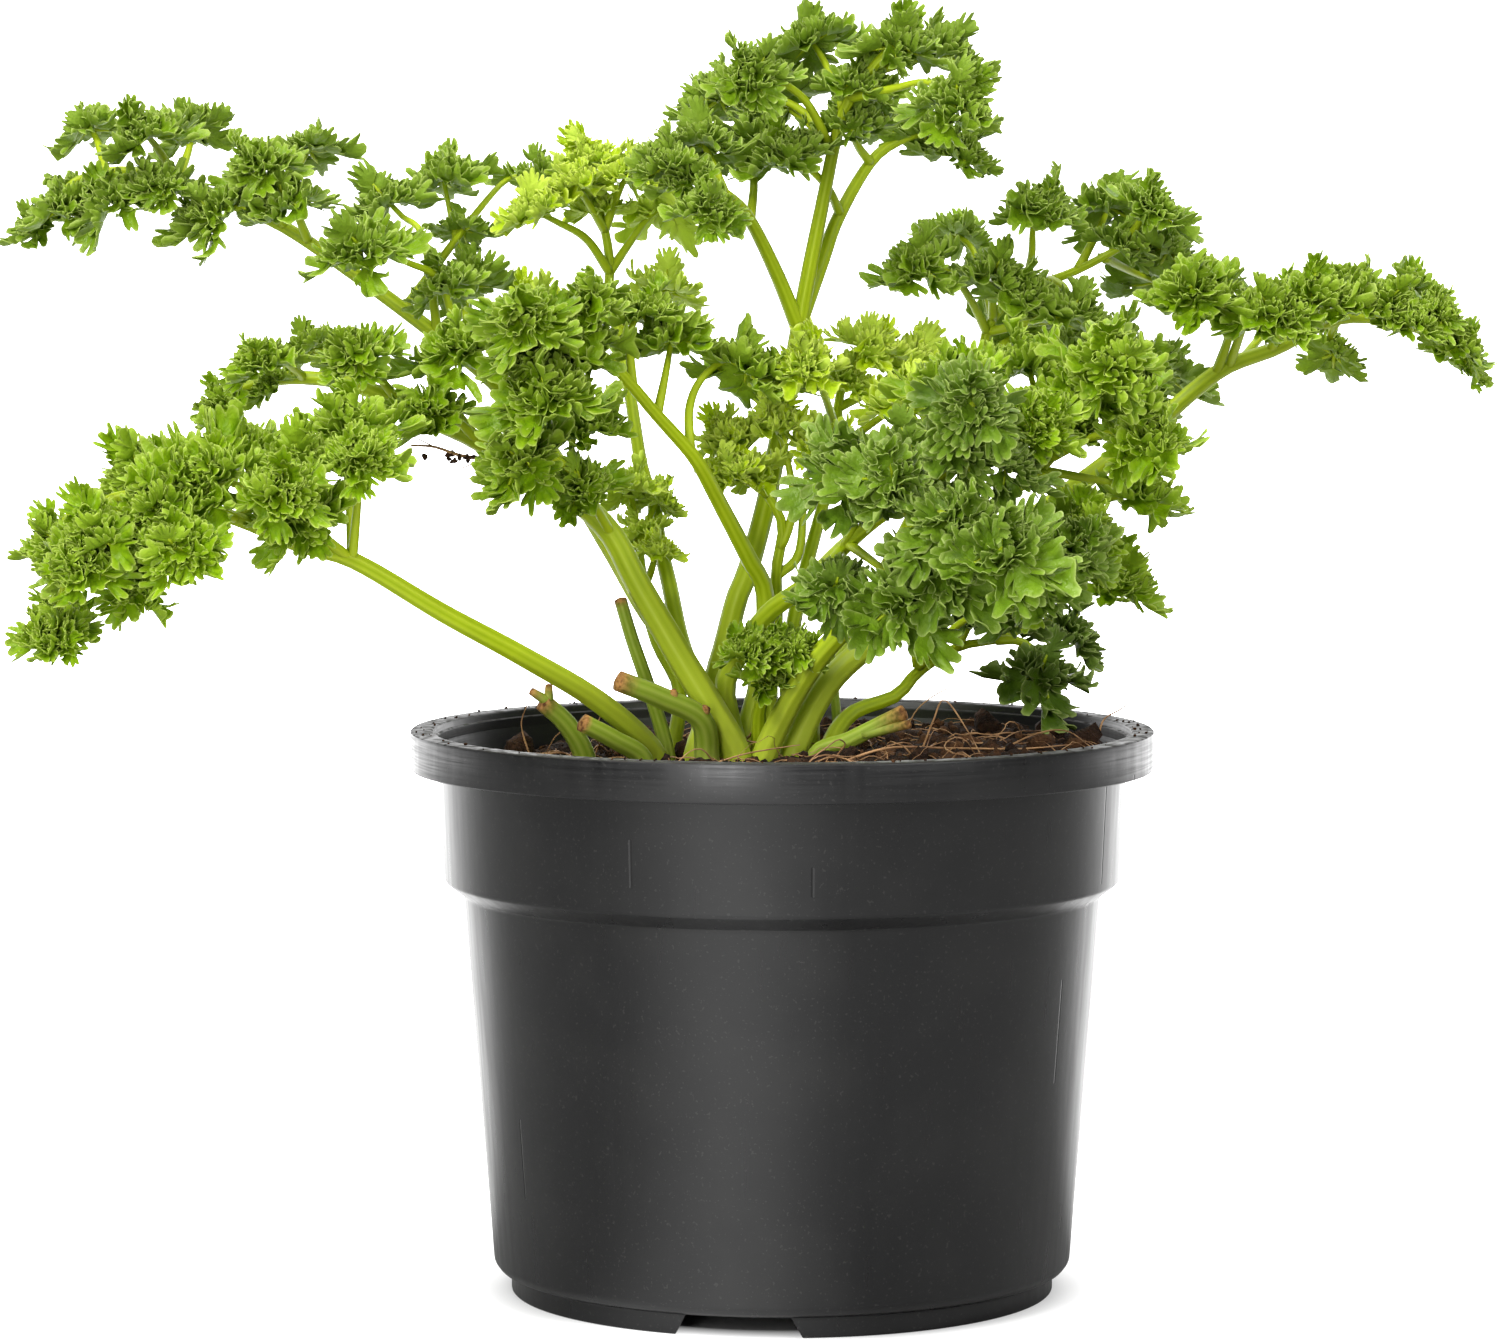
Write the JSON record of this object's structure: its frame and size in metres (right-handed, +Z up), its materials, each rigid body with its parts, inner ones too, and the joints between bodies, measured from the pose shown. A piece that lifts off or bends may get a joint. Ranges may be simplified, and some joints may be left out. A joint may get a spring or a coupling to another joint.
{
  "type": "potted parsley",
  "caption": "Curled-leaf parsley growing from peat in a round black plastic nursery pot with a flat rim, a stepped upper band and a low foot.",
  "frame": {"origin": "on the ground under the middle of the whole plant's width and depth; the pot's axis stands 7.5 mm towards +X and 2.2 mm towards +Y from it", "axes": "+Z up; +X to the right as seen from the front, along the plant's widest spread; -Y to the front, towards the large dark leaf that leans out of the crown"},
  "size_m": [0.264, 0.165, 0.2281],
  "materials": {
    "pot_polypropylene": "black, injection moulded, satin to glossy, lightly scratched and dusty",
    "peat": "dark brown, crumbly, with pale root fibres",
    "leaf_mid_green": "waxy curled leaf, paler underneath",
    "leaf_dark_green": "waxy curled leaf, bluish sheen",
    "leaf_bright_green": "waxy curled leaf, light and thin",
    "leaf_yellow_green": "thin curled leaf, yellowish",
    "stalk_green": "smooth ribbed stalk, pale at its foot",
    "stalk_dry": "cut or torn stalk, straw coloured and drying"
  },
  "bodies": {
    "root": {"pot": "pot_polypropylene", "soil": "peat", "frond_left_low": "leaf_bright_green", "frond_top_left": "leaf_dark_green", "frond_left_mid": "leaf_mid_green", "frond_back_left": "leaf_yellow_green", "frond_centre": "leaf_mid_green", "frond_tall": "leaf_dark_green", "frond_centre_small": "leaf_yellow_green", "frond_back_right": "leaf_yellow_green", "frond_upper_right": "leaf_dark_green", "frond_far_right": "leaf_mid_green", "frond_right_big": "leaf_bright_green", "frond_right_front": "leaf_dark_green", "frond_right_low": "leaf_dark_green", "frond_young": "leaf_bright_green", "frond_small_left": "leaf_yellow_green", "stub_torn": "stalk_dry", "stub_cut": "stalk_green", "stub_brown": "stalk_dry", "stub_upright": "stalk_green", "stub_sheath": "stalk_dry", "shoot_small": "leaf_yellow_green"}
  },
  "joints": []
}
